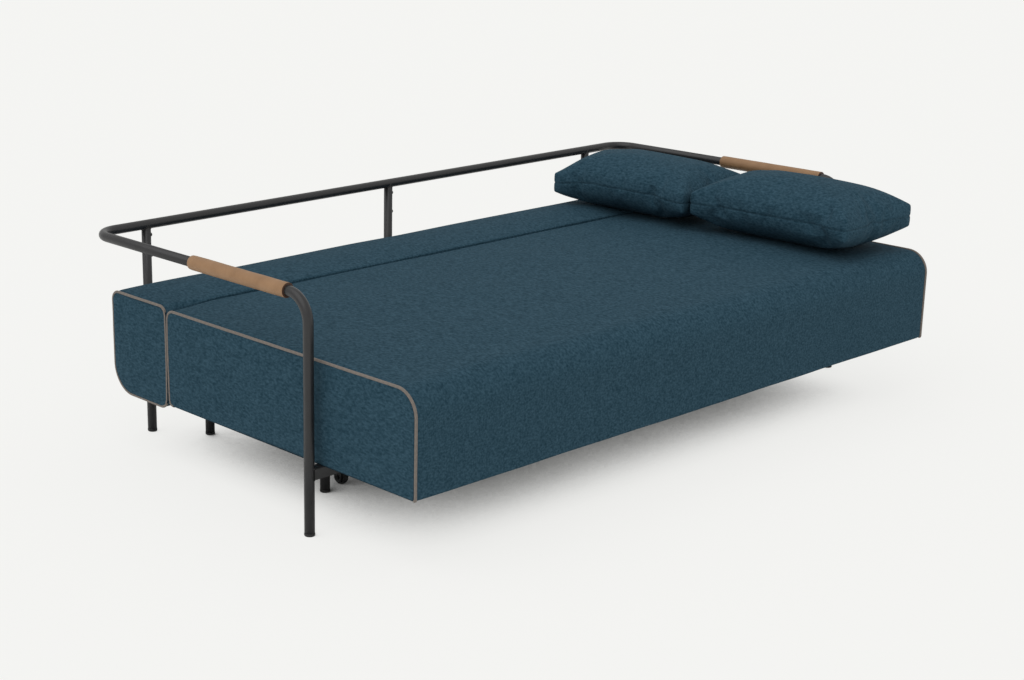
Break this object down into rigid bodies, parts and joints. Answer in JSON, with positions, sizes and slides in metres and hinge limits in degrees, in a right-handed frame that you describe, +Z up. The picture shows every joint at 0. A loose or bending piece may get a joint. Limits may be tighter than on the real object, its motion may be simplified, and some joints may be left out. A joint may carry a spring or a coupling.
{
  "type": "futon sofa bed",
  "caption": "Sofa bed in its bed position: a padded seat block and a back block lying level inside a bent tube frame with arm sleeves, with loose pillows at one end.",
  "frame": {"origin": "On the floor under the middle of the whole object's bounding box", "axes": "+X to the right seen from the front, along the bed's length; the front faces -Y; +Z up"},
  "size_m": [2.096, 1.2076, 0.6234],
  "materials": {
    "frame_paint": "matt charcoal powder coat",
    "sleeve_leather": "smooth tan leather, slightly worn",
    "foot_plastic": "black moulded plastic",
    "screw_steel": "blackened steel",
    "upholstery_fabric": "fine woven blue-grey melange",
    "piping_cord": "taupe fabric-covered cord",
    "board_plywood": "bare plywood",
    "castor_tread": "dull dark grey rubber"
  },
  "bodies": {
    "frame": {"back_rail": "frame_paint", "arm_tube_left": "frame_paint", "arm_tube_right": "frame_paint", "arm_joint_plug_left": "frame_paint", "arm_joint_plug_right": "frame_paint", "arm_sleeve_left": "sleeve_leather", "arm_sleeve_right": "sleeve_leather", "rear_post_left": "frame_paint", "rear_post_centre": "frame_paint", "rear_post_right": "frame_paint", "foot_post_left": "foot_plastic", "foot_post_centre": "foot_plastic", "foot_post_right": "foot_plastic", "post_screw_upper_left": "screw_steel", "post_screw_upper_centre": "screw_steel", "post_screw_upper_right": "screw_steel", "post_screw_lower_left": "screw_steel", "post_screw_lower_centre": "screw_steel", "post_screw_lower_right": "screw_steel", "foot_arm_left": "foot_plastic", "foot_arm_right": "foot_plastic", "rear_stretcher": "frame_paint", "front_stretcher": "frame_paint", "guide_rail_left": "frame_paint", "guide_rail_right": "frame_paint", "inner_leg_rear_left": "frame_paint", "inner_leg_rear_right": "frame_paint", "inner_leg_front_left": "frame_paint", "inner_leg_front_right": "frame_paint", "foot_inner_rear_left": "foot_plastic", "foot_inner_rear_right": "foot_plastic", "foot_inner_front_left": "foot_plastic", "foot_inner_front_right": "foot_plastic"},
    "seat": {"seat_upholstery": "upholstery_fabric", "seat_base_board": "board_plywood", "seat_piping_left": "piping_cord", "seat_piping_right": "piping_cord", "runner_left": "foot_plastic", "runner_right": "foot_plastic", "castor_bracket_left": "frame_paint", "castor_bracket_right": "frame_paint", "castor_axle_left": "screw_steel", "castor_axle_right": "screw_steel"},
    "castor_left": {"castor_wheel_left": "castor_tread"},
    "castor_right": {"castor_wheel_right": "castor_tread"},
    "back": {"back_upholstery": "upholstery_fabric", "back_board": "board_plywood", "back_piping_left": "piping_cord", "back_piping_right": "piping_cord", "post_slider_left": "foot_plastic", "post_slider_centre": "foot_plastic", "post_slider_right": "foot_plastic"},
    "pillow_rear": {"pillow_rear": "upholstery_fabric"},
    "pillow_front": {"pillow_front": "upholstery_fabric"}
  },
  "joints": [
    {"name": "seat_slide", "type": "slide", "parent": "frame", "child": "seat", "axis": [0, -1, 0], "range_m": [0, 0.06]},
    {"name": "back_lift", "type": "slide", "parent": "frame", "child": "back", "axis": [0, 0, 1], "range_m": [0, 0.28]},
    {"name": "castor_left_roll", "type": "hinge", "parent": "seat", "child": "castor_left", "pos_m": [-0.75, -0.0672, 0.02], "axis": [1, 0, 0], "continuous": true},
    {"name": "castor_right_roll", "type": "hinge", "parent": "seat", "child": "castor_right", "pos_m": [0.75, -0.0672, 0.02], "axis": [1, 0, 0], "continuous": true},
    {"name": "pillow_rear_lift", "type": "slide", "parent": "back", "child": "pillow_rear", "axis": [0, 0, 1], "range_m": [0, 0.35]},
    {"name": "pillow_front_lift", "type": "slide", "parent": "seat", "child": "pillow_front", "axis": [0, 0, 1], "range_m": [0, 0.35]}
  ],
  "couplings": [
    {"joint": "castor_left_roll", "follows": "seat_slide", "rad_per_m": 50},
    {"joint": "castor_right_roll", "follows": "seat_slide", "rad_per_m": 50}
  ]
}
